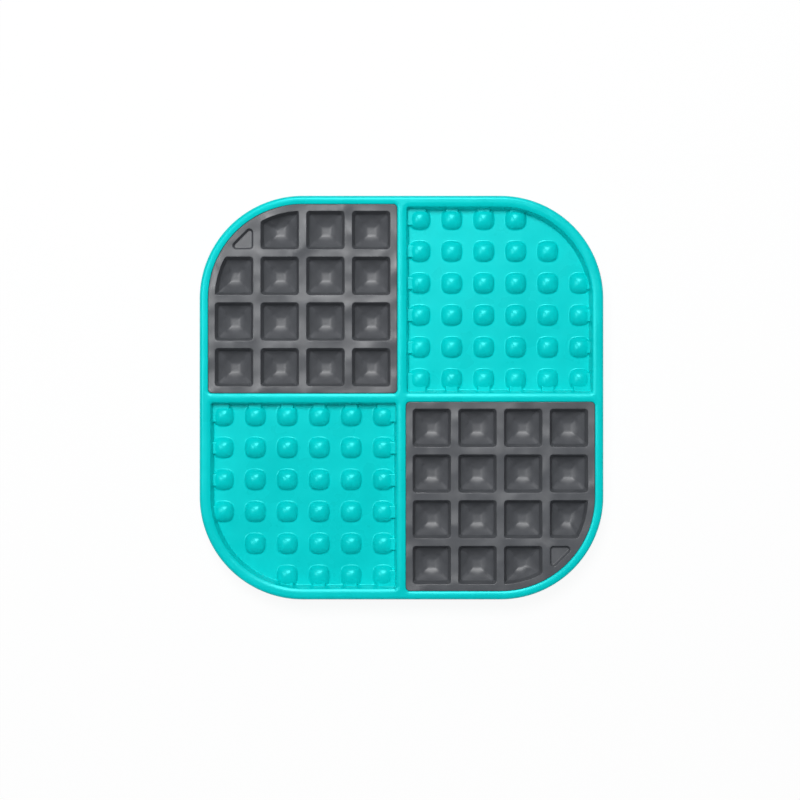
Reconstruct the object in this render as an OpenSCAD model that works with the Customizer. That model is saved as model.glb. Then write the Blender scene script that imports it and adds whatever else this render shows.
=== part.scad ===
// Lick mat: a rigid moulded tray with two studded dishes, two soft inserts of
// square wells locked into its two recesses, and four rubber feet.
// The origin is on the table, under the middle of the mat.

/* [Tray] */
// Width and depth of the square tray over its outer faces
tray_w = 200; // [180:1:240]
// Height of the mat, from the table to the top of the rim
mat_h = 18; // [17:0.5:22]
// Radius of the tray's outer corners, seen from above
corner_r = 51; // [40:1:60]
// Width of the rim round the edge
rim_w = 4.2; // [3.6:0.1:6]
// Width of the two bars that cross in the middle
bar_w = 4.2; // [3.6:0.1:6]
// Thickness of the floors under the dishes and the inserts
floor_t = 2.2; // [1.6:0.1:3]
// Thickness of the skirt round the underside
skirt_t = 2.2; // [1.6:0.1:3]
// Thickness of the cross rib under the bars
rib_t = 2.4; // [1.6:0.1:3.4]
// Thickness of the ribs that stiffen the recess floors from below
floor_rib_t = 1.6; // [1.2:0.1:2.4]
// Height of those ribs
floor_rib_h = 2.4; // [1.2:0.1:2.6]
// Rounding of the rim's outer top edge
rim_round = 1.6; // [0.8:0.1:2]
// Rounding of the top edges that face the dishes and the inserts
lip_round = 1; // [0.5:0.1:1.3]

/* [Dishes] */
// Depth of a dish below the rim
dish_depth = 7.5; // [6:0.5:12]
// How far a dish wall leans in between its top and its foot
dish_draft = 1; // [0.4:0.05:1.4]
// How much further in a dish opens than a recess does, at the bars
dish_bar_set = 0.4; // [0:0.1:1]
// How much further in a dish opens than a recess does, at the rim
dish_rim_set = 1.3; // [0.3:0.1:1.8]
// Radius of a dish's three small corners, at the top
dish_corner_r = 1.3; // [1.2:0.1:3]

/* [Studs] */
// Studs along each side of a dish
stud_count = 6; // [4:1:6]
// Width of a stud, flat to flat
stud_w = 10; // [8:0.1:10.5]
// Radius of a stud's corners, seen from above
stud_corner_r = 3.2; // [2:0.1:3.8]
// Height of a stud above the dish floor
stud_h = 3.3; // [2.8:0.1:4]
// Radius of the two crossing curves that crown a stud
stud_crown_r = 5.8; // [5.6:0.1:9]
// How far the outer studs stand in from where a recess would open
stud_inset = 2; // [1.5:0.05:3]
// Width of the block that ties an outer stud to the wall
tie_w = 6; // [4:0.1:7]
// Height of that block above the dish floor
tie_h = 2; // [1.4:0.1:2.6]
// Diameter of the core hole under each stud, which the plug of a foot fits
stud_core_d = 5.6; // [4:0.1:6.4]
// Height of the core hole above the dish floor
stud_core_h = 1; // [0.5:0.1:1.6]

/* [Inserts] */
// Wells along each side of an insert
well_count = 4; // [3:1:4]
// Width of a well at the top
well_w = 18.8; // [16:0.1:20]
// Width of the border between the outer wells and the insert's edge
insert_border = 3.4; // [2.8:0.1:4.5]
// Height of a well's steep wall
well_wall_h = 5; // [4:0.1:7]
// Depth of the sloping hopper under that wall
hopper_h = 3; // [2:0.1:4]
// Thickness of the insert under its wells
insert_floor_t = 2; // [1.6:0.1:3]
// How far a well's wall leans in over its height
well_draft = 0.9; // [0.4:0.1:1.2]
// Width of the flat square at the bottom of a well
well_pan_w = 4.6; // [3:0.1:6]
// Radius of a well's corners, seen from above
well_corner_r = 1.4; // [1:0.1:2]
// Radius of an insert's three small corners
insert_corner_r = 2; // [1.5:0.1:3]
// Chamfer on the insert's top edges
insert_edge = 0.45; // [0.3:0.05:0.6]
// Depth of the shallow well in the round corner
corner_well_h = 2; // [1.5:0.1:3]
// How far an insert's top lies below the rim
insert_set = 0.4; // [0:0.1:1]
// Diameter of the pegs that lock an insert to the tray
peg_d = 6; // [4:0.1:7]
// Diameter of a peg's head under the tray floor
peg_head_d = 8.6; // [8:0.1:10]
// Height of a peg's head
peg_head_h = 1.6; // [1:0.1:2]

/* [Feet] */
// Diameter of a rubber foot
foot_d = 12; // [9:0.1:14]
// How far a foot stands out below the skirt
foot_stand = 1.6; // [1:0.1:3]
// Rounding of a foot's lower edge
foot_round = 0.8; // [0.4:0.1:0.9]
// Depth of the ring that holds a foot
seat_depth = 2.2; // [1.6:0.1:4]
// Wall of that ring, and of the neck above it
socket_wall = 2; // [1.5:0.1:3]
// Floor left between the hole for a foot's plug and an insert
plug_skin = 0.8; // [0.6:0.1:1]

/* [Hidden] */
$fn = 96;
// Gap left between pieces that fit into each other, on each side
fit_gap = 0.1;
// Overrun of cuts and of lengths that end inside another solid
over = 0.6;
// Thickness of the layers that a loft is stretched between
layer = 0.01;
// Sides of a full circle on the small corners of an insert, and on its large one
small_fn = 16;
large_fn = 96;

half_w = tray_w / 2;
corner_c = half_w - corner_r;

// Heights above the table
skirt_z = foot_stand;
seat_z = skirt_z + seat_depth;
rim_z = mat_h;
dish_z = rim_z - dish_depth;
dish_under_z = dish_z - floor_t;
insert_top_z = rim_z - insert_set;
insert_t = insert_floor_t + hopper_h + well_wall_h;
insert_z = insert_top_z - insert_t;
recess_under_z = insert_z - floor_t;
recess_depth = rim_z - insert_z;
// A foot's plug is as long as the shallower of its two kinds of hole takes
plug_hole_h = min(insert_z - plug_skin, dish_z + stud_core_h) - seat_z;

// A quadrant's opening runs from the bar to the rim
open_lo = bar_w / 2;
open_hi = half_w - rim_w;
open_corner_r = corner_r - rim_w;
dish_lo = open_lo + dish_bar_set;
dish_hi = open_hi - dish_rim_set;

// Studs, placed between the walls of a dish
stud_lo = open_lo + stud_inset + stud_w / 2;
stud_hi = open_hi - stud_inset - stud_w / 2;
stud_pitch = (stud_hi - stud_lo) / (stud_count - 1);

// Wells, placed inside the insert's border
insert_lo = open_lo + fit_gap;
insert_hi = open_hi - fit_gap;
insert_r = open_corner_r - fit_gap;
well_lo = insert_lo + insert_border + well_w / 2;
well_hi = insert_hi - insert_border - well_w / 2;
well_pitch = (well_hi - well_lo) / (well_count - 1);
well_limit_r = insert_r - insert_border;

// The feet stand under the last stud of the diagonal
foot_row = stud_count - 2;
foot_at = stud_lo + foot_row * stud_pitch;
socket_d = foot_d + 2 * fit_gap;
plug_d = stud_core_d - 2 * fit_gap;
boss_d = socket_d + 2 * socket_wall;

// The pegs stand under the wall crossings either side of the middle one
well_mid = (well_lo + well_hi) / 2;
peg_places = [[well_mid - well_pitch, well_mid], [well_mid + well_pitch, well_mid],
    [well_mid, well_mid - well_pitch], [well_mid, well_mid + well_pitch]];

tray_colour = [0.06, 0.83, 0.83];
insert_colour = [0.40, 0.40, 0.42];
foot_colour = [0.22, 0.22, 0.24];

// Turns what is drawn for the rear right quadrant into quadrant number q
module in_quadrant(q) {
    rotate([0, 0, 90 * q]) children();
}

// Square from lo to hi with one large corner, outwards, and three small ones
module quadrant_plan(lo, hi, large_r, small_r) {
    c = hi - large_r;
    near = lo + small_r;
    far = hi - small_r;
    polygon([[near, lo], [far, lo], [hi, near], [hi, c], [c, c], [c, hi], [near, hi], [lo, far], [lo, near]]);
    translate([c, c]) intersection() {
        circle(large_r);
        square(large_r);
    }
    for (p = [[near, near], [far, near], [near, far]])
        translate(p) circle(small_r);
}

// Section of the tray's rim and skirt, out to the given reach
module rim_section(reach) {
    translate([0, skirt_z]) square([reach, rim_z - rim_round - skirt_z]);
    translate([0, rim_z - rim_round]) square([reach - rim_round, rim_round]);
    translate([reach - rim_round, rim_z - rim_round]) intersection() {
        circle(rim_round);
        square(rim_round);
    }
}

// The tray as one block, its corners turned and its sides drawn between them
module tray_block() {
    for (q = [0:3])
        in_quadrant(q) {
            translate([corner_c, corner_c, 0]) rotate_extrude(angle = 90) rim_section(corner_r);
            translate([0, corner_c, 0]) rotate([90, 0, 0])
                linear_extrude(2 * corner_c) rim_section(half_w);
        }
}

// Section of a pocket's wall: it leans in towards the floor and ends in a rounded lip
module wall_section(reach, depth, draft) {
    lip_z = rim_z - lip_round;
    polygon([[0, rim_z - depth], [reach - draft, rim_z - depth], [reach, lip_z],
        [reach, rim_z + over], [0, rim_z + over]]);
    translate([reach, lip_z]) difference() {
        square([lip_round, lip_round + over]);
        translate([lip_round, 0]) circle(lip_round);
    }
}

// A straight wall between two places along a side
module wall_run(from, to, reach, depth, draft) {
    translate([0, to, 0]) rotate([90, 0, 0]) linear_extrude(to - from) wall_section(reach, depth, draft);
}

// The hollow of a dish or a recess: a core, four straight walls and four turned corners
module pocket(lo, hi, depth, draft, small_r) {
    c = corner_c;
    near = lo + small_r;
    far = hi - small_r;
    translate([0, 0, rim_z - depth]) linear_extrude(depth + over)
        polygon([[near, near], [far, near], [far, c], [c, c], [c, far], [near, far]]);
    translate([c, c, 0]) rotate_extrude(angle = 90) wall_section(hi - c, depth, draft);
    for (p = [[near, near, 180], [far, near, 270], [near, far, 90]])
        translate([p.x, p.y, 0]) rotate([0, 0, p.z])
            rotate_extrude(angle = 90) wall_section(small_r, depth, draft);
    translate([far, 0, 0]) wall_run(near, c, small_r, depth, draft);
    translate([0, far, 0]) rotate([0, 0, 90]) wall_run(-c, -near, small_r, depth, draft);
    translate([near, 0, 0]) rotate([0, 0, 180]) wall_run(-far, -near, small_r, depth, draft);
    translate([0, near, 0]) rotate([0, 0, 270]) wall_run(near, far, small_r, depth, draft);
}

// The hollow under a quadrant's floor, up to the given height
module under_pocket(top_z) {
    translate([0, 0, skirt_z - over]) linear_extrude(top_z - skirt_z + over)
        quadrant_plan(rib_t / 2, half_w - skirt_t, corner_r - skirt_t, insert_corner_r);
}

function stud_place(i) = stud_lo + i * stud_pitch;

// True where a stud stays inside the rim of the round corner
function stud_fits(x, y) =
    norm([max(x - corner_c, 0), max(y - corner_c, 0)]) + stud_w / 2 <= open_corner_r;

// A rounded square pillow, crowned by two crossing curves
module stud() {
    flat = stud_w - 2 * stud_corner_r;
    intersection() {
        translate([0, 0, dish_z - floor_t / 2]) linear_extrude(stud_h + floor_t) union() {
            square([stud_w, flat], center = true);
            square([flat, stud_w], center = true);
            for (x = [-flat / 2, flat / 2], y = [-flat / 2, flat / 2])
                translate([x, y]) circle(stud_corner_r);
        }
        stud_crown(0);
        stud_crown(90);
    }
}

// One of the two curves that crown a stud
module stud_crown(turn) {
    translate([0, 0, dish_z + stud_h - stud_crown_r]) rotate([90, 0, turn])
        cylinder(r = stud_crown_r, h = 2 * stud_w, center = true);
}

// The block between an outer stud and the wall next to it, along one side
module tie(x, y, side_x, side_y) {
    lo_x = side_x < 0 ? 0 : x - tie_w / 2;
    hi_x = side_x > 0 ? half_w - rim_w / 2 : x + tie_w / 2;
    lo_y = side_y < 0 ? 0 : y - tie_w / 2;
    hi_y = side_y > 0 ? half_w - rim_w / 2 : y + tie_w / 2;
    translate([lo_x, lo_y, dish_z - floor_t / 2])
        cube([hi_x - lo_x, hi_y - lo_y, tie_h + floor_t / 2]);
}

// Which wall a stud of this row stands next to: -1 the bar, 1 the rim, 0 none
function side_of(i) = i == 0 ? -1 : i == stud_count - 1 ? 1 : 0;

// The studs and ties of one dish
module dish_studs() {
    for (i = [0:stud_count - 1], j = [0:stud_count - 1]) {
        x = stud_place(i);
        y = stud_place(j);
        if (stud_fits(x, y)) {
            translate([x, y, 0]) stud();
            if (side_of(i) != 0 || side_of(j) != 0) tie(x, y, side_of(i), side_of(j));
        }
    }
}

// The core holes under the studs of one dish. The one over the foot also takes its plug
module stud_cores() {
    for (i = [0:stud_count - 1], j = [0:stud_count - 1]) {
        x = stud_place(i);
        y = stud_place(j);
        from_z = i == foot_row && j == foot_row ? seat_z : dish_under_z;
        if (stud_fits(x, y))
            translate([x, y, from_z - over])
                cylinder(d = stud_core_d, h = dish_z + stud_core_h - from_z + over);
    }
}

// Ribs under a recess floor, along the middle rows of wells
module floor_ribs() {
    translate([0, 0, recess_under_z - floor_rib_h]) linear_extrude(floor_rib_h + floor_t / 2)
        intersection() {
            quadrant_plan(0, half_w - skirt_t / 2, corner_r - skirt_t / 2, insert_corner_r);
            for (i = [1:well_count - 2]) {
                place = well_lo + i * well_pitch - floor_rib_t / 2;
                translate([place, 0]) square([floor_rib_t, half_w]);
                translate([0, place]) square([half_w, floor_rib_t]);
            }
        }
}

// The ring that holds a foot, on a neck from the floor at the given height
module foot_boss(floor_z) {
    mid_z = floor_z - floor_t / 2;
    translate([foot_at, foot_at, skirt_z]) {
        cylinder(d = boss_d, h = min(seat_depth + socket_wall, mid_z - skirt_z));
        cylinder(d = stud_core_d + 2 * socket_wall, h = mid_z - skirt_z);
    }
}

// The rigid moulded tray
module tray() {
    color(tray_colour) difference() {
        union() {
            difference() {
                tray_block();
                for (q = [0, 2]) in_quadrant(q) {
                    pocket(dish_lo, dish_hi, dish_depth, dish_draft, dish_corner_r);
                    under_pocket(dish_under_z);
                }
                for (q = [1, 3]) in_quadrant(q) {
                    pocket(open_lo, open_hi, recess_depth, 0, insert_corner_r);
                    under_pocket(recess_under_z);
                }
            }
            for (q = [0, 2]) in_quadrant(q) {
                dish_studs();
                foot_boss(dish_z);
            }
            for (q = [1, 3]) in_quadrant(q) {
                floor_ribs();
                foot_boss(insert_z);
            }
        }
        for (q = [0, 2]) in_quadrant(q) stud_cores();
        for (q = [1, 3]) in_quadrant(q) {
            translate([foot_at, foot_at, seat_z - over])
                cylinder(d = stud_core_d, h = over + plug_hole_h);
            for (p = peg_places)
                translate([p.x, p.y, recess_under_z - over])
                    cylinder(d = peg_d + 2 * fit_gap, h = floor_t + 2 * over);
        }
        for (q = [0:3]) in_quadrant(q)
            translate([foot_at, foot_at, skirt_z - over])
                cylinder(d = socket_d, h = seat_depth + over);
    }
}

// Outline of one well, cut back where the round corner comes too near
module well_plan(x, y, inset) {
    offset(r = well_corner_r - inset, $fn = small_fn) offset(delta = -well_corner_r)
        intersection() {
            translate([x, y]) square(well_w, center = true);
            union() {
                translate([corner_c, corner_c]) circle(well_limit_r, $fn = large_fn);
                square([half_w, corner_c]);
                square([corner_c, half_w]);
            }
        }
}

// The space of one well: a chamfered mouth, a steep wall and a hopper down to a small pan
module well(x, y) {
    in_corner = norm([x - corner_c, y - corner_c]) > well_limit_r && x > corner_c && y > corner_c;
    wall_h = in_corner ? corner_well_h : well_wall_h;
    wall_draft = well_draft * wall_h / well_wall_h;
    hull() {
        translate([0, 0, insert_top_z]) linear_extrude(over) well_plan(x, y, -insert_edge);
        translate([0, 0, insert_top_z - insert_edge]) linear_extrude(layer) well_plan(x, y, 0);
    }
    hull() {
        translate([0, 0, insert_top_z - insert_edge]) linear_extrude(layer) well_plan(x, y, 0);
        translate([0, 0, insert_top_z - wall_h]) linear_extrude(layer) well_plan(x, y, wall_draft);
    }
    if (!in_corner) hull() {
        translate([0, 0, insert_top_z - wall_h]) linear_extrude(layer) well_plan(x, y, wall_draft);
        translate([x, y, insert_top_z - wall_h - hopper_h])
            linear_extrude(layer) square(well_pan_w, center = true);
    }
}

// A soft insert, with its wells and the pegs that lock it under the tray floor
module insert() {
    color(insert_colour) {
        difference() {
            hull() {
                translate([0, 0, insert_z]) linear_extrude(insert_t - insert_edge, $fn = large_fn)
                    quadrant_plan(insert_lo, insert_hi, insert_r, insert_corner_r);
                translate([0, 0, insert_z]) linear_extrude(insert_t, $fn = large_fn)
                    quadrant_plan(insert_lo + insert_edge, insert_hi - insert_edge,
                        insert_r - insert_edge, insert_corner_r - insert_edge);
            }
            for (i = [0:well_count - 1], j = [0:well_count - 1])
                well(well_lo + i * well_pitch, well_lo + j * well_pitch);
        }
        for (p = peg_places)
            translate([p.x, p.y, 0]) {
                translate([0, 0, recess_under_z - peg_head_h / 2])
                    cylinder(d = peg_d, h = floor_t + peg_head_h, $fn = 32);
                translate([0, 0, recess_under_z - peg_head_h])
                    cylinder(d1 = peg_d, d2 = peg_head_d, h = peg_head_h, $fn = 32);
            }
    }
}

module insert_rear_left() {
    in_quadrant(1) insert();
}

module insert_front_right() {
    in_quadrant(3) insert();
}

// A rubber foot: a pad that seats in its ring and a plug that holds it
module foot() {
    color(foot_colour) translate([foot_at, foot_at, 0]) rotate_extrude() {
        translate([0, foot_round]) square([foot_d / 2, seat_z - foot_round]);
        square([foot_d / 2 - foot_round, seat_z]);
        translate([foot_d / 2 - foot_round, foot_round]) circle(foot_round);
        square([plug_d / 2, seat_z + plug_hole_h - fit_gap]);
    }
}

module foot_front_left() {
    in_quadrant(2) foot();
}

module foot_front_right() {
    in_quadrant(3) foot();
}

module foot_rear_left() {
    in_quadrant(1) foot();
}

module foot_rear_right() {
    in_quadrant(0) foot();
}

tray();
insert_rear_left();
insert_front_right();
foot_front_left();
foot_front_right();
foot_rear_left();
foot_rear_right();
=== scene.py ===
import math
import bmesh
import bpy
from mathutils import Matrix, Vector


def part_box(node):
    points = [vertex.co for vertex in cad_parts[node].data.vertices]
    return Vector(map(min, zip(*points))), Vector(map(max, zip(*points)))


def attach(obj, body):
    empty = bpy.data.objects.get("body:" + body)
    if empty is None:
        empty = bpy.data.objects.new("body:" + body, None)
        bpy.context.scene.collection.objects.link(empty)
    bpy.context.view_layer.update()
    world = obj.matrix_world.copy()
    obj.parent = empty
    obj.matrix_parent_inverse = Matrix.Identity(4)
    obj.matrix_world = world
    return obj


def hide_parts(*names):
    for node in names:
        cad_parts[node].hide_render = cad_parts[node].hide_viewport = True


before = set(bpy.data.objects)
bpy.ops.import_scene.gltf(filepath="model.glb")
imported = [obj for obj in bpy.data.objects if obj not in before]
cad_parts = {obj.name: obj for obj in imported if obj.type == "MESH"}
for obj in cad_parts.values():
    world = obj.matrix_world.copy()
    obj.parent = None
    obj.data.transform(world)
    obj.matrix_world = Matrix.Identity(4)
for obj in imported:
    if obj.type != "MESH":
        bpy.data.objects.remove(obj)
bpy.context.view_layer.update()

# The tray is one injection moulding in turquoise polypropylene. Its rim and crossed bars have rounded
# tops, the dishes' walls lean so that the part leaves the mould, and small fillets run along the floors.
# Underneath it is hollow, with a skirt, a cross rib, ribs under the recesses and rings for the feet.
MM = 0.001
tray_low, tray_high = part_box("tray")
half_w = tray_high.x
rim_z = tray_high.z
skirt_z = tray_low.z
corner_r = 51 * MM
rim_w = 4.2 * MM
bar_w = 4.2 * MM
crown_r = 4.5 * MM
crest_slope = 1.2
rim_round = 1.6 * MM
dish_lip_r = 0.5 * MM
recess_lip_r = 0.5 * MM
floor_t = 2.2 * MM
skirt_t = 2.2 * MM
rib_t = 2.4 * MM
skirt_round = 0.5 * MM
rib_round = 0.3 * MM
dish_depth = 7.5 * MM
dish_draft = 1 * MM
dish_bar_set = 0.4 * MM
dish_rim_set = 1.3 * MM
dish_corner_r = 1.3 * MM
recess_depth = 10.4 * MM
recess_corner_r = 2 * MM
pocket_foot_r = 0.5 * MM
corner_c = half_w - corner_r
hollow_r = corner_r - skirt_t
dish_z = rim_z - dish_depth
recess_z = rim_z - recess_depth
dish_under_z = dish_z - floor_t
recess_under_z = recess_z - floor_t
open_lo = bar_w / 2
open_hi = half_w - rim_w
dish_lo = open_lo + dish_bar_set
dish_hi = open_hi - dish_rim_set
merge_gap = 0.001 * MM
quarter = math.pi / 2
large_steps = 40
small_steps = 7
edge_steps = 6
round_steps = 5
fine_steps = 4
hidden_steps = 3


def round_arc(centre_inset, centre_z, radius, start, end, steps=round_steps):
    """Points of an arc in a section, between two angles in degrees."""
    angles = [math.radians(start + (end - start) * k / steps) for k in range(steps + 1)]
    return [(centre_inset + radius * math.cos(a), centre_z + radius * math.sin(a)) for a in angles]


def bend(radius, start, end, pieces):
    """Steps along an arc between two slopes in degrees, as (how far in, how far up)."""
    turn = (end - start) / pieces
    slopes = [math.radians(start + turn * (k + 0.5)) for k in range(pieces)]
    length = radius * math.radians(abs(turn))
    return [(length * math.cos(s), length * math.sin(s)) for s in slopes]


def downward(steps):
    """The same steps, going down."""
    return [(inset, -rise) for inset, rise in steps]


def trace(start, steps):
    """The points that steps lead to, from a start."""
    points = [start]
    for inset, rise in steps:
        points.append((points[-1][0] + inset, points[-1][1] + rise))
    return points


def crest(reach, edge_r, slope):
    """Section of a bar's or the rim's top, from near its middle over the crown to its rounded edge.

    It ends at inset 0, where the wall below it has the given slope in degrees."""
    turn = math.degrees(math.asin((reach - edge_r) / (crown_r - edge_r)))
    steps = bend(crown_r, crest_slope, turn, round_steps) + bend(edge_r, turn, slope, edge_steps)
    return trace((crown_r * math.sin(math.radians(crest_slope)) - reach, rim_z), downward(steps))


def sweep(bm, section, lo, hi, radii):
    """Carries a section round a square with rounded corners, from the corner at (hi, hi) onwards.

    The section's points are (inset from the outline, height)."""
    first_vert = len(bm.verts)
    verts = [bm.verts.new((hi - inset, hi - radii[0], z)) for inset, z in section]
    swept = verts + [bm.edges.new(pair) for pair in zip(verts, verts[1:])]
    centres = [Vector((hi - radii[0], hi - radii[0], 0)), Vector((lo + radii[1], hi - radii[1], 0)),
               Vector((lo + radii[2], lo + radii[2], 0)), Vector((hi - radii[3], lo + radii[3], 0))]
    for k, radius in enumerate(radii):
        steps = large_steps if radius > recess_corner_r else small_steps
        turned = bmesh.ops.spin(bm, geom=swept, cent=centres[k], axis=(0, 0, 1), angle=quarter, steps=steps)
        along = Matrix.Rotation(quarter * (k + 1), 3, "Z") @ Vector((0, 1, 0))
        length = (centres[(k + 1) % 4] - centres[k]).dot(along)
        run = bmesh.ops.spin(bm, geom=turned["geom_last"], dvec=along * length, axis=(0, 0, 1), steps=1)
        swept = run["geom_last"]
    new_verts = list(bm.verts)[first_vert:]
    bmesh.ops.remove_doubles(bm, verts=new_verts, dist=merge_gap)


def fill_level(bm, z):
    """Closes every open loop that lies at one height, leaving the loops inside it as holes."""
    edges = [e for e in bm.edges if e.is_boundary and all(abs(v.co.z - z) < merge_gap for v in e.verts)]
    bmesh.ops.triangle_fill(bm, edges=edges, use_beauty=True)


def put(bm, part, quadrant=0, place=(0, 0, 0)):
    """Adds a part's mesh, moved to its place in a quadrant and turned with it, and frees the part."""
    turn = Matrix.Rotation(quarter * quadrant, 3, "Z")
    bmesh.ops.translate(part, verts=part.verts, vec=place)
    bmesh.ops.rotate(part, verts=part.verts, cent=(0, 0, 0), matrix=turn)
    copy = bpy.data.meshes.new("copy")
    part.to_mesh(copy)
    part.free()
    bm.from_mesh(copy)
    bpy.data.meshes.remove(copy)


def pocket(lo, hi, floor_z, draft, lip_r, small_r):
    """The surface of a dish or a recess, from the crest of the bars down to its floor."""
    section = crest(lo, lip_r, math.degrees(math.atan2(rim_z - floor_z, draft)))
    section += round_arc(draft + pocket_foot_r, floor_z + pocket_foot_r, pocket_foot_r, 180, 270)
    bm = bmesh.new()
    sweep(bm, section, lo, hi, [hi - corner_c] + [small_r] * 3)
    return bm


def under_pocket(ceiling_z):
    """The hollow under a quadrant's floor."""
    section = round_arc(-rib_round, skirt_z + rib_round, rib_round, 270, 360, hidden_steps)
    section += round_arc(rib_round, ceiling_z - rib_round, rib_round, 180, 90, hidden_steps)
    bm = bmesh.new()
    sweep(bm, section, rib_t / 2, half_w - skirt_t, [hollow_r] + [recess_corner_r] * 3)
    return bm


tray = bmesh.new()
outer = [(-inset, z) for inset, z in crest(rim_w / 2, rim_round, 90)]
outer += round_arc(skirt_round, skirt_z + skirt_round, skirt_round, 180, 270)
sweep(tray, outer, -half_w, half_w, [corner_r] * 4)
for q in (0, 2):
    put(tray, pocket(dish_lo, dish_hi, dish_z, dish_draft, dish_lip_r, dish_corner_r), q)
    put(tray, under_pocket(dish_under_z), q)
for q in (1, 3):
    put(tray, pocket(open_lo, open_hi, recess_z, 0, recess_lip_r, recess_corner_r), q)
    put(tray, under_pocket(recess_under_z), q)

# Under each stud the moulder cores the floor out, so that no sink mark shows on top. The hole over a foot
# lies inside the neck that carries the foot's ring, filled by the foot's plug, so it isn't drawn. With the
# holes in place, the tray's flat faces close every loop that the swept walls leave open.
stud_count = 6
stud_w = 10 * MM
stud_inset = 2 * MM
stud_core_d = 5.6 * MM
stud_core_h = 1 * MM
core_segments = 20
stud_lo = open_lo + stud_inset + stud_w / 2
stud_hi = open_hi - stud_inset - stud_w / 2
stud_pitch = (stud_hi - stud_lo) / (stud_count - 1)
foot_place = (stud_count - 2, stud_count - 2)


def stud_at(i):
    """Where the studs of one row or column stand."""
    return stud_lo + i * stud_pitch


def stud_fits(i, j):
    """True where a stud stays inside the rim of the round corner."""
    reach = math.hypot(max(stud_at(i) - corner_c, 0), max(stud_at(j) - corner_c, 0))
    return reach + stud_w / 2 <= open_hi - corner_c


stud_places = [(i, j) for i in range(stud_count) for j in range(stud_count) if stud_fits(i, j)]


def core_hole():
    """A blind round hole, open at the underside of the dish floor."""
    bm = bmesh.new()
    bmesh.ops.create_circle(bm, cap_ends=True, segments=core_segments, radius=stud_core_d / 2,
                            matrix=Matrix.Translation((0, 0, dish_z + stud_core_h)))
    wall = bmesh.ops.extrude_edge_only(bm, edges=[e for e in bm.edges if e.is_boundary])
    rim = [v for v in wall["geom"] if isinstance(v, bmesh.types.BMVert)]
    bmesh.ops.translate(bm, verts=rim, vec=(0, 0, dish_under_z - dish_z - stud_core_h))
    return bm


for q in (0, 2):
    for i, j in stud_places:
        if (i, j) != foot_place:
            put(tray, core_hole(), q, (stud_at(i), stud_at(j), 0))
for level in (rim_z, dish_z, recess_z, recess_under_z, dish_under_z, skirt_z):
    fill_level(tray, level)
bmesh.ops.recalc_face_normals(tray, faces=tray.faces)

# The studs are soft pillows with a domed crown, moulded with the tray and blended into the dish floor.
# Those next to a wall are tied to it by a lower block, so that no food packs in behind them. Both start a
# hair under the floor, so that no seam shows.
stud_crown_z = 3.42 * MM
stud_profile = [(2.6 * MM, 2.9 * MM), (3.9 * MM, 2.1 * MM), (4.8 * MM, 1.1 * MM), (5.05 * MM, 0.35 * MM),
                (5.35 * MM, 0.07 * MM), (5.7 * MM, 0), (6.1 * MM, -0.04 * MM), (6.0 * MM, -0.6 * MM)]
crown_reach = 1.05 * MM
corner_pull = 0.81
stud_levels = 2
stud_sink = 0.01 * MM
tie_w = 6.4 * MM
tie_h = 2 * MM
tie_sink = 0.02 * MM
tie_corner_r = 1.5 * MM
tie_foot_r = 0.5 * MM
tie_edge_r = 0.55 * MM
tie_slope = 84
tie_reach = 0.5 * MM
tie_foot = bend(tie_foot_r, 0, tie_slope, fine_steps)
tie_edge = bend(tie_edge_r, tie_slope, 0, fine_steps)
tie_flare = sum(inset for inset, rise in tie_foot)
tie_side_h = tie_h + tie_sink - sum(rise for inset, rise in tie_foot + tie_edge)
tie_steps = tie_foot + [(tie_side_h / math.tan(math.radians(tie_slope)), tie_side_h)] + tie_edge


def draw_rings(bm, ring, profile):
    """Draws a ring of edges round the Z axis along a profile of (reach, height). Returns the last ring."""
    for (old_reach, old_z), (reach, z) in zip(profile, profile[1:]):
        grown = bmesh.ops.extrude_edge_only(bm, edges=ring)
        verts = [v for v in grown["geom"] if isinstance(v, bmesh.types.BMVert)]
        bmesh.ops.scale(bm, verts=verts, vec=(reach / old_reach, reach / old_reach, 1))
        bmesh.ops.translate(bm, verts=verts, vec=(0, 0, z - old_z))
        ring = [e for e in grown["geom"] if isinstance(e, bmesh.types.BMEdge) and len(e.link_faces) == 1]
    return ring


def stud_cage():
    """The control cage of a stud: a crown of nine faces, and rings that run down into the floor."""
    bm = bmesh.new()
    bmesh.ops.create_grid(bm, x_segments=3, y_segments=3, size=1)
    edge_reach, edge_z = stud_profile[0]
    # The grid reaches from -1 to 1, so the vertices beyond half of that are its outer ones.
    for v in bm.verts:
        outer_x, outer_y = abs(v.co.x) > 0.5, abs(v.co.y) > 0.5
        v.co.x = math.copysign(edge_reach if outer_x else crown_reach, v.co.x)
        v.co.y = math.copysign(edge_reach if outer_y else crown_reach, v.co.y)
        v.co.z = edge_z if outer_x or outer_y else stud_crown_z
    last = draw_rings(bm, [e for e in bm.edges if e.is_boundary], stud_profile)
    bmesh.ops.contextual_create(bm, geom=last)
    corners = [v for v in bm.verts if abs(abs(v.co.x) - abs(v.co.y)) < merge_gap
               and abs(v.co.x) > edge_reach - merge_gap]
    bmesh.ops.scale(bm, verts=corners, vec=(corner_pull, corner_pull, 1))
    bmesh.ops.recalc_face_normals(bm, faces=bm.faces)
    return bm


def subdivided(bm, levels):
    """The mesh of a cage with its subdivision applied."""
    mesh = bpy.data.meshes.new("cage")
    bm.to_mesh(mesh)
    bm.free()
    cage = bpy.data.objects.new("cage", mesh)
    bpy.context.scene.collection.objects.link(cage)
    soften = cage.modifiers.new("soften", "SUBSURF")
    soften.levels = soften.render_levels = levels
    result = bpy.data.meshes.new_from_object(cage.evaluated_get(bpy.context.evaluated_depsgraph_get()))
    bpy.data.objects.remove(cage)
    bpy.data.meshes.remove(mesh)
    return result


def step_in(bm, face, steps):
    """Insets a face again and again. Each step is (how far in, how far up)."""
    for inset, rise in steps:
        bmesh.ops.inset_region(bm, faces=[face], thickness=inset, depth=rise, use_boundary=True,
                               use_even_offset=True)


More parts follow.
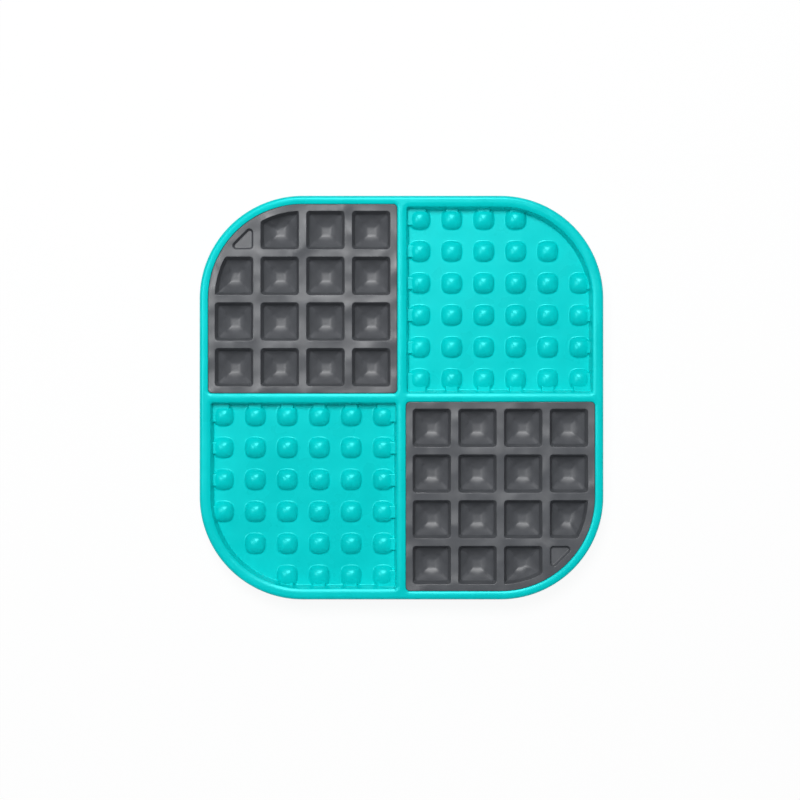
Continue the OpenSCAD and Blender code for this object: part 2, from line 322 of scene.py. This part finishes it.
def side_of(i):
    """Which wall a stud of this row stands next to: -1 the bar, 1 the rim, 0 none."""
    return -1 if i == 0 else 1 if i == stud_count - 1 else 0


def tie_block(i, j):
    """The block between an outer stud and the walls next to it, filleted at its foot."""
    spans = []
    for k in (i, j):
        side = side_of(k)
        lo = stud_at(k) - tie_w / 2 if side >= 0 else open_lo - tie_reach
        hi = stud_at(k) + tie_w / 2 if side <= 0 else open_hi + tie_reach
        spans.append((lo - tie_flare, hi + tie_flare))
    (x_lo, x_hi), (y_lo, y_hi) = spans
    bm = bmesh.new()
    bmesh.ops.create_grid(bm, x_segments=1, y_segments=1, size=0.5)
    bmesh.ops.scale(bm, verts=bm.verts, vec=(x_hi - x_lo, y_hi - y_lo, 1))
    bmesh.ops.translate(bm, verts=bm.verts, vec=((x_lo + x_hi) / 2, (y_lo + y_hi) / 2, dish_z - tie_sink))
    bmesh.ops.bevel(bm, geom=bm.verts, affect="VERTICES", offset=tie_corner_r, segments=fine_steps,
                    profile=0.5, material=-1)
    bm.faces.ensure_lookup_table()
    top = bm.faces[0]
    if top.normal.z < 0:
        top.normal_flip()
    step_in(bm, top, tie_steps)
    bmesh.ops.holes_fill(bm, edges=[e for e in bm.edges if e.is_boundary])
    bmesh.ops.recalc_face_normals(bm, faces=bm.faces)
    return bm


stud_mesh = subdivided(stud_cage(), stud_levels)
stud = bmesh.new()
stud.from_mesh(stud_mesh)
bmesh.ops.bisect_plane(stud, geom=list(stud.verts) + list(stud.edges) + list(stud.faces), dist=merge_gap,
                       plane_co=(0, 0, -stud_sink), plane_no=(0, 0, -1), clear_outer=True)
bmesh.ops.holes_fill(stud, edges=[e for e in stud.edges if e.is_boundary])
bmesh.ops.recalc_face_normals(stud, faces=stud.faces)
for q in (0, 2):
    for i, j in stud_places:
        put(tray, stud.copy(), q, (stud_at(i), stud_at(j), dish_z))
        if side_of(i) or side_of(j):
            put(tray, tie_block(i, j), q)
stud.free()
bpy.data.meshes.remove(stud_mesh)

# Rings stand under the tray's corners to hold the feet, on a neck where the floor is high, and thin ribs
# stiffen the floors under the inserts' inner rows of wells. They belong to the same moulding. Ribs that
# cross differ a little in height, so that their lower faces don't lie in one plane.
foot_low, foot_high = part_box("foot_rear_right")
foot_at = (foot_low.x + foot_high.x) / 2
foot_r = (foot_high.x - foot_low.x) / 2
seat_depth = 2.2 * MM
seat_gap = 0.1 * MM
seat_wall = 2 * MM
seat_r = foot_r + seat_gap
ring_r = seat_r + seat_wall
neck_r = stud_core_d / 2 + seat_wall
ring_round = 0.4 * MM
ring_segments = 48
bury = 0.3 * MM
floor_rib_t = 1.6 * MM
floor_rib_h = 2.4 * MM
floor_rib_step = 0.15 * MM
floor_rib_segments = 2
fit_gap = 0.1 * MM
insert_lo = open_lo + fit_gap
insert_hi = open_hi - fit_gap
insert_border = 3.4 * MM
well_count = 4
well_w = 18.8 * MM
well_lo = insert_lo + insert_border + well_w / 2
well_hi = insert_hi - insert_border - well_w / 2
well_pitch = (well_hi - well_lo) / (well_count - 1)


def revolve(section, segments):
    """A solid turned about Z from a section of (radius, height) points that starts and ends on the axis."""
    bm = bmesh.new()
    verts = [bm.verts.new((radius, 0, z)) for radius, z in section]
    edges = [bm.edges.new(pair) for pair in zip(verts, verts[1:])]
    bmesh.ops.spin(bm, geom=verts + edges, cent=(0, 0, 0), axis=(0, 0, 1), angle=4 * quarter,
                   steps=segments, use_merge=True)
    bmesh.ops.remove_doubles(bm, verts=bm.verts, dist=merge_gap)
    bmesh.ops.recalc_face_normals(bm, faces=bm.faces)
    return bm


def box_bar(x_lo, x_hi, y_lo, y_hi, z_lo, z_hi, rounding):
    """A straight bar with rounded edges."""
    bm = bmesh.new()
    bmesh.ops.create_cube(bm, size=1)
    bmesh.ops.scale(bm, verts=bm.verts, vec=(x_hi - x_lo, y_hi - y_lo, z_hi - z_lo))
    bmesh.ops.translate(bm, verts=bm.verts, vec=((x_lo + x_hi) / 2, (y_lo + y_hi) / 2, (z_lo + z_hi) / 2))
    bmesh.ops.bevel(bm, geom=bm.edges, affect="EDGES", offset=rounding, segments=floor_rib_segments,
                    profile=0.5, material=-1)
    return bm


for q in range(4):
    floor_z = (dish_under_z if q in (0, 2) else recess_under_z) + bury
    ring_z = min(skirt_z + seat_depth + seat_wall, floor_z)
    ring = [(0, floor_z), (neck_r, floor_z), (neck_r, ring_z), (ring_r, ring_z)]
    ring += round_arc(ring_r - ring_round, skirt_z + ring_round, ring_round, 0, -90, fine_steps)
    ring += [(seat_r, skirt_z), (seat_r, skirt_z + seat_depth), (0, skirt_z + seat_depth)]
    put(tray, revolve(ring, ring_segments), q, (foot_at, foot_at, 0))
for q in (1, 3):
    for i in range(1, well_count - 1):
        mid = well_lo + i * well_pitch
        far = corner_c + math.sqrt(hollow_r ** 2 - max(mid - corner_c, 0) ** 2) + bury
        span = (mid - floor_rib_t / 2, mid + floor_rib_t / 2)
        low, high = recess_under_z - floor_rib_h, recess_under_z + bury
        put(tray, box_bar(*span, 0, far, low, high, rib_round), q)
        put(tray, box_bar(0, far, *span, low + floor_rib_step, high, rib_round), q)


def linear(hex_code):
    """The linear colour of an sRGB hex value."""
    parts = [int(hex_code[k:k + 2], 16) / 255 for k in (1, 3, 5)]
    return [c / 12.92 if c <= 0.04045 else ((c + 0.055) / 1.055) ** 2.4 for c in parts] + [1]


def add_node(tree, kind, inputs=None, **settings):
    """Adds a node. Its inputs are values, or sockets to link from."""
    node = tree.nodes.new("ShaderNode" + kind)
    for name, value in settings.items():
        setattr(node, name, value)
    for name, value in (inputs or {}).items():
        if isinstance(value, bpy.types.NodeSocket):
            tree.links.new(value, node.inputs[name])
        else:
            node.inputs[name].default_value = value
    return node


def new_material(name):
    """An empty material, with its tree, its surface shader and the object coordinates."""
    material = bpy.data.materials.new(name)
    material.use_nodes = True
    tree = material.node_tree
    tree.nodes.clear()
    shader = add_node(tree, "BsdfPrincipled")
    add_node(tree, "OutputMaterial", {"Surface": shader.outputs[0]})
    place = add_node(tree, "TexCoord").outputs["Object"]
    return material, tree, shader, place


tray_dark = "#02d6d5"
tray_light = "#04dfde"
tray_reflection = "#6cffff"
tray_ior = 1.49
tray_smooth = 0.25
tray_rough = 0.32
flow_w = 22 * MM
flow_low = 0.3
flow_high = 0.7
tray_wave_w = 14 * MM
tray_wave_h = 0.25 * MM
tray_grain_w = 0.45 * MM
tray_grain_h = 0.02 * MM
tray_grain_share = 0.12


def moulded_polypropylene():
    """Glossy moulded polypropylene: an even, very strong turquoise whose reflections keep its tint, with
    faint flow marks and a slightly wavy skin that breaks up the highlights along the rims."""
    material, tree, shader, place = new_material("turquoise_polypropylene")
    flow = add_node(tree, "TexNoise", {"Vector": place, "Scale": 1 / flow_w, "Detail": 3.0,
                                       "Roughness": 0.55})
    waves = add_node(tree, "TexNoise", {"Vector": place, "Scale": 1 / tray_wave_w, "Detail": 1.0})
    # The skin's real grain is about 0.1 mm, too fine to show, so it is drawn several times as coarse.
    skin = add_node(tree, "TexNoise", {"Vector": place, "Scale": 1 / tray_grain_w, "Detail": 2.0})
    tint = add_node(tree, "ValToRGB", {"Fac": flow.outputs["Fac"]})
    tint.color_ramp.elements[0].position = flow_low
    tint.color_ramp.elements[0].color = linear(tray_dark)
    tint.color_ramp.elements[1].position = flow_high
    tint.color_ramp.elements[1].color = linear(tray_light)
    gloss = add_node(tree, "MapRange", {"Value": flow.outputs["Fac"], "From Min": flow_low,
                                        "From Max": flow_high, "To Min": tray_smooth, "To Max": tray_rough})
    wavy = add_node(tree, "Bump", {"Height": waves.outputs["Fac"], "Strength": 1.0, "Distance": tray_wave_h})
    grain = add_node(tree, "Bump", {"Height": skin.outputs["Fac"], "Strength": tray_grain_share,
                                    "Distance": tray_grain_h, "Normal": wavy.outputs["Normal"]})
    tree.links.new(tint.outputs["Color"], shader.inputs["Base Color"])
    tree.links.new(gloss.outputs["Result"], shader.inputs["Roughness"])
    tree.links.new(grain.outputs["Normal"], shader.inputs["Normal"])
    shader.inputs["IOR"].default_value = tray_ior
    shader.inputs["Specular Tint"].default_value = linear(tray_reflection)
    return material


sharp_angle = math.radians(42)


def make_piece(bm, name, material, node):
    """Turns a finished mesh into the piece that stands for a node."""
    mesh = bpy.data.meshes.new(name)
    bm.to_mesh(mesh)
    bm.free()
    mesh.materials.append(material)
    mesh.shade_smooth()
    mesh.set_sharp_from_angle(angle=sharp_angle)
    piece = bpy.data.objects.new(name, mesh)
    bpy.context.scene.collection.objects.link(piece)
    flatten = piece.modifiers.new("flat_faces", "WEIGHTED_NORMAL")
    flatten.keep_sharp = True
    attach(piece, "root")
    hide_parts(node)
    return piece


make_piece(tray, "tray_moulding", moulded_polypropylene(), "tray")

# Each insert is a soft moulding in grey thermoplastic rubber, with four by four square wells that the
# mat's round corner cuts back. The insert drops into its recess and is locked there by pegs, pulled
# through holes in the tray's floor.
insert_top_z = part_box("insert_front_right")[1].z
insert_r = insert_hi - corner_c
insert_corner_r = 2 * MM
insert_edge = 0.3 * MM
well_limit_r = insert_r - insert_border
well_corner_r = 1.4 * MM
well_corner_segments = 6
well_lip = 0.3 * MM
well_slope = 74
well_wall_h = 4 * MM
bowl_r = 1.8 * MM
bowl_slope = 52
hopper_r = 11.8 * MM
hopper_slope = 20
hopper_steps = 7
pan_edge_r = 3.6 * MM
pan_edge_slope = 5
pan_r = 12 * MM
side_cuts = 5
arc_cuts = 4
arc_angle = math.radians(150)
round_share = 0.65
pan_round_share = 0.3
round_in_depth = 2.8 * MM
round_out_depth = 2 * MM
corner_well_h = 2.3 * MM
corner_well_slope = 70
corner_well_foot_r = 0.5 * MM
corner_well_r = 2.1 * MM
corner_well_out = 0.3 * MM
peg_r = 3 * MM
peg_head_r = 4.3 * MM
peg_head_h = 1.6 * MM
peg_round = 0.3 * MM
peg_segments = 32


def mouth(bm, x, y, half, radius):
    """A square face with round corners, round the Z axis, cut back along the insert's round corner.

    The well's middle is at x and y, which says how near that corner is."""
    bmesh.ops.create_grid(bm, x_segments=1, y_segments=1, size=half)
    bmesh.ops.translate(bm, verts=bm.verts, vec=(0, 0, insert_top_z))
    to_x, to_y = x - corner_c, y - corner_c
    limit = well_limit_r + well_lip
    if math.hypot(max(to_x + half, 0), max(to_y + half, 0)) > limit:
        start = max(math.acos(min((to_x + half) / limit, 1)), math.asin(max((to_y - half) / limit, 0)))
        end = min(math.asin(min((to_y + half) / limit, 1)), math.acos(max((to_x - half) / limit, 0)))
        for k in range(arc_cuts):
            turn = start + (end - start) * (k + 0.5) / arc_cuts
            out = Vector((math.cos(turn), math.sin(turn), 0))
            at = out * limit - Vector((to_x, to_y, 0))
            bmesh.ops.bisect_plane(bm, geom=list(bm.verts) + list(bm.edges) + list(bm.faces), dist=merge_gap,
                                   plane_co=at, plane_no=out, clear_outer=True)
    bm.faces.ensure_lookup_table()
    # The corners along the cut arc are blunter than this angle, and stay as they are.
    for vert, angle in [(loop.vert, loop.calc_angle()) for loop in bm.faces[0].loops]:
        if angle < arc_angle:
            bmesh.ops.bevel(bm, geom=[vert], affect="VERTICES", offset=radius / math.tan(angle / 2),
                            segments=well_corner_segments, profile=0.5, material=-1)
    bm.faces.ensure_lookup_table()
    face = bm.faces[0]
    face.normal_update()
    if face.normal.z < 0:
        face.normal_flip()
    return face


def wall_step(height, slope):
    """A straight step down a well's steep wall."""
    return [(height / math.tan(math.radians(slope)), height)]


def well(x, y):
    """The surface of one well, round the Z axis.

    Below a rounded lip and a steep wall a curved hopper leads down to a small pan. Its plan turns from
    square at the mouth to nearly round in the hopper."""
    bm = bmesh.new()
    half = well_w / 2 + well_lip
    face = mouth(bm, x, y, half, well_corner_r + well_lip)
    steps = bend(well_lip, 0, well_slope, fine_steps) + wall_step(well_wall_h, well_slope)
    steps += bend(bowl_r, well_slope, bowl_slope, hopper_steps)
    steps += bend(hopper_r, bowl_slope, hopper_slope, hopper_steps)
    steps += bend(pan_edge_r, hopper_slope, pan_edge_slope, fine_steps)
    steps += bend(pan_r, pan_edge_slope, 0, fine_steps)
    sides = [e for e in face.edges if e.calc_length() > well_corner_r]
    bmesh.ops.subdivide_edges(bm, edges=sides, cuts=side_cuts)
    ring = [e for e in bm.edges if e.is_boundary]
    bmesh.ops.delete(bm, geom=list(bm.faces), context="FACES_ONLY")
    last = draw_rings(bm, ring, trace((half, insert_top_z), [(-inset, -rise) for inset, rise in steps]))
    bmesh.ops.contextual_create(bm, geom=last)
    pan_z = min(v.co.z for v in bm.verts)
    # Below the wall the corners are pulled in, which turns the plan from square to nearly round.
    for v in bm.verts:
        into = (insert_top_z - well_wall_h - v.co.z) / round_in_depth
        out = max((v.co.z - pan_z) / round_out_depth, pan_round_share)
        share = round_share * max(min(into, out, 1), 0)
        reach = max(abs(v.co.x), abs(v.co.y), merge_gap)
        pull = 1 - share * (1 - reach / max(v.co.xy.length, merge_gap))
        v.co.x *= pull
        v.co.y *= pull
    return bm


def corner_well(x, y):
    """The shallow three-sided well in the insert's round corner, round the Z axis."""
    lip = bend(well_lip, 0, corner_well_slope, fine_steps)
    foot = bend(corner_well_foot_r, corner_well_slope, 0, fine_steps)
    height = corner_well_h - sum(rise for inset, rise in lip + foot)
    section = trace((0, insert_top_z), downward(lip + wall_step(height, corner_well_slope) + foot))
    near = corner_well_r - well_w / 2 - well_lip
    diagonal = well_limit_r + well_lip + corner_well_out - math.hypot(x - corner_c, y - corner_c)
    far = (diagonal - corner_well_r) * math.sqrt(2) - near
    bm = bmesh.new()
    verts = [bm.verts.new((far, near - corner_well_r + inset, z)) for inset, z in section]
    swept = verts + [bm.edges.new(pair) for pair in zip(verts, verts[1:])]
    centres = [Vector((far, near, 0)), Vector((near, far, 0)), Vector((near, near, 0))]
    # The two corners on the slanting side turn the section by 135 degrees, and the square one by 90.
    for k, turn in enumerate((1.5 * quarter, 1.5 * quarter, quarter)):
        turned = bmesh.ops.spin(bm, geom=swept, cent=centres[k], axis=(0, 0, 1), angle=turn,
                                steps=small_steps)
        run = bmesh.ops.spin(bm, geom=turned["geom_last"], dvec=centres[(k + 1) % 3] - centres[k],
                             axis=(0, 0, 1), steps=1)
        swept = run["geom_last"]
    bmesh.ops.remove_doubles(bm, verts=bm.verts, dist=merge_gap)
    fill_level(bm, insert_top_z - corner_well_h)
    return bm


def soft_insert(quadrant):
    """One insert, as it lies in its recess."""
    bm = bmesh.new()
    side = round_arc(insert_edge, insert_top_z - insert_edge, insert_edge, 90, 180, fine_steps)
    side += [(0, recess_z + insert_edge), (insert_edge, recess_z)]
    sweep(bm, side, insert_lo, insert_hi, [insert_r] + [insert_corner_r] * 3)
    for i in range(well_count):
        for j in range(well_count):
            x, y = well_lo + i * well_pitch, well_lo + j * well_pitch
            shape = corner_well(x, y) if i == j == well_count - 1 else well(x, y)
            put(bm, shape, 0, (x, y, 0))
    fill_level(bm, insert_top_z)
    fill_level(bm, recess_z)
    bmesh.ops.recalc_face_normals(bm, faces=bm.faces)
    middle = (well_lo + well_hi) / 2
    head_z = recess_under_z - peg_head_h
    peg = [(0, recess_z + bury), (peg_r, recess_z + bury), (peg_r, recess_under_z)]
    peg += [(peg_head_r, recess_under_z), (peg_head_r, recess_under_z - peg_round)]
    peg += [(peg_r, head_z + peg_round)]
    peg += round_arc(peg_r - peg_round, head_z + peg_round, peg_round, 0, -90, hidden_steps)[1:]
    peg += [(0, head_z)]
    for reach in (-well_pitch, well_pitch):
        put(bm, revolve(peg, peg_segments), 0, (middle + reach, middle, 0))
        put(bm, revolve(peg, peg_segments), 0, (middle, middle + reach, 0))
    turned = bmesh.new()
    put(turned, bm, quadrant)
    return turned


insert_dark = "#55575b"
insert_light = "#5e6064"
insert_ior = 1.5
insert_rough = 0.42
cloud_w = 9 * MM
cloud_low = 0.35
cloud_high = 0.68
streak_w = 17 * MM
streak_h = 2.8 * MM
streak_low = 0.42
streak_high = 0.66
streak_dull = 0.46
streak_shiny = 0.28
top_fade = 0.4 * MM
top_full = 0.05 * MM
insert_grain_w = 0.5 * MM
insert_grain_h = 0.03 * MM
insert_grain_share = 0.2


def thermoplastic_rubber():
    """Moulded thermoplastic rubber: a satin, faintly clouded mid grey. The top is gently wavy and shinier
    in places, so whitish streaks show there, and the wells are evenly satin."""
    material, tree, shader, place = new_material("grey_thermoplastic_rubber")
    # The moulded grain is really about 0.1 mm, too fine to show, so it is drawn several times as coarse.
    grain = add_node(tree, "TexNoise", {"Vector": place, "Scale": 1 / insert_grain_w, "Detail": 3.0})
    cloud = add_node(tree, "TexNoise", {"Vector": place, "Scale": 1 / cloud_w, "Detail": 4.0,
                                        "Roughness": 0.6})
    streaks = add_node(tree, "TexNoise", {"Vector": place, "Scale": 1 / streak_w, "Detail": 1.0})
    height = add_node(tree, "SeparateXYZ", {"Vector": place})
    on_top = add_node(tree, "MapRange", {"Value": height.outputs["Z"], "From Min": insert_top_z - top_fade,
                                         "From Max": insert_top_z - top_full})
    tint = add_node(tree, "ValToRGB", {"Fac": cloud.outputs["Fac"]})
    tint.color_ramp.elements[0].position = cloud_low
    tint.color_ramp.elements[0].color = linear(insert_dark)
    tint.color_ramp.elements[1].position = cloud_high
    tint.color_ramp.elements[1].color = linear(insert_light)
    gloss = add_node(tree, "MapRange", {"Value": streaks.outputs["Fac"], "From Min": streak_low,
                                        "From Max": streak_high, "To Min": streak_dull,
                                        "To Max": streak_shiny})
    satin = add_node(tree, "MapRange", {"Value": on_top.outputs["Result"], "To Min": insert_rough,
                                        "To Max": gloss.outputs["Result"]})
    wavy = add_node(tree, "Bump", {"Height": streaks.outputs["Fac"], "Strength": on_top.outputs["Result"],
                                   "Distance": streak_h})
    fine = add_node(tree, "Bump", {"Height": grain.outputs["Fac"], "Strength": insert_grain_share,
                                   "Distance": insert_grain_h, "Normal": wavy.outputs["Normal"]})
    tree.links.new(tint.outputs["Color"], shader.inputs["Base Color"])
    tree.links.new(satin.outputs["Result"], shader.inputs["Roughness"])
    tree.links.new(fine.outputs["Normal"], shader.inputs["Normal"])
    shader.inputs["IOR"].default_value = insert_ior
    return material


rubber = thermoplastic_rubber()
make_piece(soft_insert(1), "insert_rear_left_moulding", rubber, "insert_rear_left")
make_piece(soft_insert(3), "insert_front_right_moulding", rubber, "insert_front_right")

# The feet are small round pads, moulded in dark matt rubber with a rounded edge and pressed into the
# rings under the tray by a plug. They keep the shape of their solids and get a finish of their own.
foot_dark = "#29292b"
foot_light = "#3a3a3d"
foot_ior = 1.52
foot_rough = 0.75
foot_cloud_w = 3 * MM
foot_grain_w = 0.4 * MM
foot_grain_h = 0.05 * MM
foot_grain_share = 0.3


def matt_rubber():
    """Moulded rubber with a powdery matt skin: a dull, slightly uneven near-black."""
    material, tree, shader, place = new_material("dark_matt_rubber")
    cloud = add_node(tree, "TexNoise", {"Vector": place, "Scale": 1 / foot_cloud_w, "Detail": 4.0})
    # The real grain is about 0.1 mm, too fine to show, so it is drawn several times as coarse.
    grain = add_node(tree, "TexNoise", {"Vector": place, "Scale": 1 / foot_grain_w, "Detail": 2.0})
    tint = add_node(tree, "ValToRGB", {"Fac": cloud.outputs["Fac"]})
    tint.color_ramp.elements[0].color = linear(foot_dark)
    tint.color_ramp.elements[1].color = linear(foot_light)
    skin = add_node(tree, "Bump", {"Height": grain.outputs["Fac"], "Strength": foot_grain_share,
                                   "Distance": foot_grain_h})
    tree.links.new(tint.outputs["Color"], shader.inputs["Base Color"])
    tree.links.new(skin.outputs["Normal"], shader.inputs["Normal"])
    shader.inputs["Roughness"].default_value = foot_rough
    shader.inputs["IOR"].default_value = foot_ior
    return material


foot_rubber = matt_rubber()
for name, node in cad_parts.items():
    if name.startswith("foot_"):
        node.data.materials.clear()
        node.data.materials.append(foot_rubber)

# The mat lies on a plain white table that reaches far past the picture. For the camera alone the table
# glows as white as paper, which puts no light on the mat and keeps a faint shadow round it.
table_half_w = 3.0
table_paint = "#e7e7e7"
table_glow = 1.03
glow_share = 0.9
paper_white = "#ffffff"
table_shape = bmesh.new()
bmesh.ops.create_grid(table_shape, x_segments=1, y_segments=1, size=table_half_w)
table_mesh = bpy.data.meshes.new("studio_floor")
table_shape.to_mesh(table_mesh)
table_shape.free()
table = bpy.data.objects.new("studio_floor", table_mesh)
bpy.context.scene.collection.objects.link(table)


def white_table():
    """White paint on a smooth board, mixed with the glow that the camera sees."""
    material = bpy.data.materials.new("white_table")
    material.use_nodes = True
    tree = material.node_tree
    tree.nodes.clear()
    paint = add_node(tree, "BsdfDiffuse", {"Color": linear(table_paint)})
    glow = add_node(tree, "Emission", {"Color": linear(paper_white), "Strength": table_glow})
    path = add_node(tree, "LightPath")
    seen = add_node(tree, "Math", {0: path.outputs["Is Camera Ray"], 1: glow_share}, operation="MULTIPLY")
    mix = add_node(tree, "MixShader", {0: seen.outputs[0], 1: paint.outputs[0], 2: glow.outputs[0]})
    add_node(tree, "OutputMaterial", {"Surface": mix.outputs[0]})
    return material


table_mesh.materials.append(white_table())

# A dim, even sky stands round the table for the mat's sake. The camera sees a plain white backdrop in
# its place, so low views end in white too.
sky_colour = "#f4faff"
sky_strength = 0.21
backdrop_strength = 1.0
world = bpy.data.worlds.new("studio_world")
bpy.context.scene.world = world
world.use_nodes = True
world.node_tree.nodes.clear()
sky = add_node(world.node_tree, "Background", {"Color": linear(sky_colour), "Strength": sky_strength})
backdrop = add_node(world.node_tree, "Background", {"Color": linear(paper_white),
                                                    "Strength": backdrop_strength})
camera_ray = add_node(world.node_tree, "LightPath").outputs["Is Camera Ray"]
either = add_node(world.node_tree, "MixShader", {0: camera_ray, 1: sky.outputs[0], 2: backdrop.outputs[0]})
add_node(world.node_tree, "OutputWorld", {"Surface": either.outputs[0]})

# Four softboxes hang above the mat, behind it and to its left. The key and the fill light it, and only
# the key of these two is mirrored. The rear and left ones light nothing and are only mirrored, which
# draws the bright lines on the rim, the bars, the studs and the soft tops.


def softbox(name, place, size, radiance, mirrored=True, lights=True):
    """A softbox that faces the mat. Its power is set from the radiance of its face."""
    light = bpy.data.lights.new(name, "AREA")
    light.shape = "RECTANGLE"
    light.size, light.size_y = size
    light.energy = radiance * math.pi * size[0] * size[1]
    lamp = bpy.data.objects.new(name, light)
    lamp.location = place
    lamp.rotation_euler = Vector(place).to_track_quat("Z", "Y").to_euler()
    lamp.visible_glossy = mirrored
    lamp.visible_diffuse = lights
    bpy.context.scene.collection.objects.link(lamp)


softbox("key_softbox", place=(0.0, 0.3, 1.0), size=(0.24, 0.46), radiance=3.6)
softbox("rear_softbox", place=(0.0, 0.64, 1.0), size=(0.34, 0.46), radiance=22.0, lights=False)
softbox("left_softbox", place=(-0.5, 0.14, 1.0), size=(0.34, 0.46), radiance=8.0, lights=False)
softbox("fill_softbox", place=(-0.18, 0.5, 1.3), size=(0.5, 0.5), radiance=15.5, mirrored=False)

# The camera looks straight down from 0.92 m above the rim, as the photographer's did. Its lens takes in
# the photograph's frame at the rim's height, and the mat stands about a millimetre off its middle.
camera_height = 0.92
camera_x = -0.74 * MM
camera_y = -1.19 * MM
frame_w = 395.7 * MM
sensor_w = 36
camera_data = bpy.data.cameras.new("camera")
camera_data.sensor_width = sensor_w
camera_data.lens = sensor_w * camera_height / frame_w
camera = bpy.data.objects.new("camera", camera_data)
camera.location = (camera_x, camera_y, rim_z + camera_height)
bpy.context.scene.collection.objects.link(camera)
bpy.context.scene.camera = camera
bpy.context.scene.view_settings.view_transform = "Standard"
